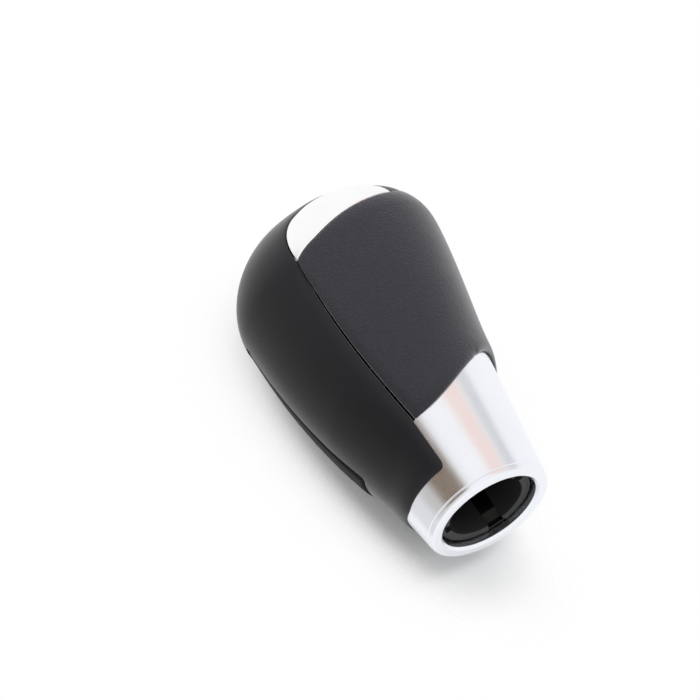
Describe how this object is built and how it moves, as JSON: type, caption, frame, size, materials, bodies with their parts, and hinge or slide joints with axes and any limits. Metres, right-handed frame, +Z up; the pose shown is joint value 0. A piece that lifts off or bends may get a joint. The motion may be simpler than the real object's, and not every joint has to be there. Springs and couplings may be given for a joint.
{
  "type": "gear shift knob",
  "caption": "Egg-shaped selector knob with a leather front band and palm pad, side trims, a tapered collar over the lever bore, and a long release trigger at the front.",
  "frame": {"origin": "centre of the collar's end face, on the lever's axis", "axes": "+Z up the lever's axis to the crown, -Y the front (trigger) side, +Y the palm side, +X the side the picture shows"},
  "size_m": [0.0486, 0.0633, 0.1069],
  "materials": {
    "band_leather": "smooth black leather",
    "palm_leather": "fine-grained black leather",
    "trim_silver": "satin silver",
    "collar_silver": "satin",
    "black_plastic": "glossy black",
    "grey_plastic": "moulded dark grey",
    "white_plastic": "natural acetal",
    "steel": "bright",
    "dark_steel": "blackened spring steel",
    "foam": "open foam",
    "rubber": "matte",
    "brass": "turned"
  },
  "bodies": {
    "knob": {"core": "grey_plastic", "front_shell": "grey_plastic", "rear_shell": "grey_plastic", "palm_foam": "foam", "front_leather": "band_leather", "rear_leather": "palm_leather", "side_trim_right": "trim_silver", "side_trim_left": "trim_silver", "collar": "collar_silver", "locking_sleeve": "grey_plastic", "retaining_clip": "dark_steel", "trigger_bezel": "black_plastic", "bump_stop": "rubber", "spring_cap": "grey_plastic", "pivot_pin": "steel", "front_shell_screws": "steel", "rear_shell_screws": "steel", "return_spring": "steel"},
    "trigger": {"trigger_cap": "black_plastic", "trigger_lever": "grey_plastic"},
    "slider": {"release_slider": "white_plastic", "cross_pin": "steel", "rod_socket": "brass"}
  },
  "joints": [
    {"name": "trigger_hinge", "type": "hinge", "parent": "knob", "child": "trigger", "pos_m": [0, -0.0215, 0.08], "axis": [1, 0, 0], "range_deg": [0, 6]},
    {"name": "slider_rise", "type": "slide", "parent": "knob", "child": "slider", "axis": [0, 0, 1], "range_m": [0, 0.00225], "stiffness_N_per_m": 1000, "springref_m": -0.002, "deforming": ["return_spring"]}
  ],
  "couplings": [
    {"joint": "trigger_hinge", "follows": "slider_rise", "rad_per_m": 46.51}
  ]
}
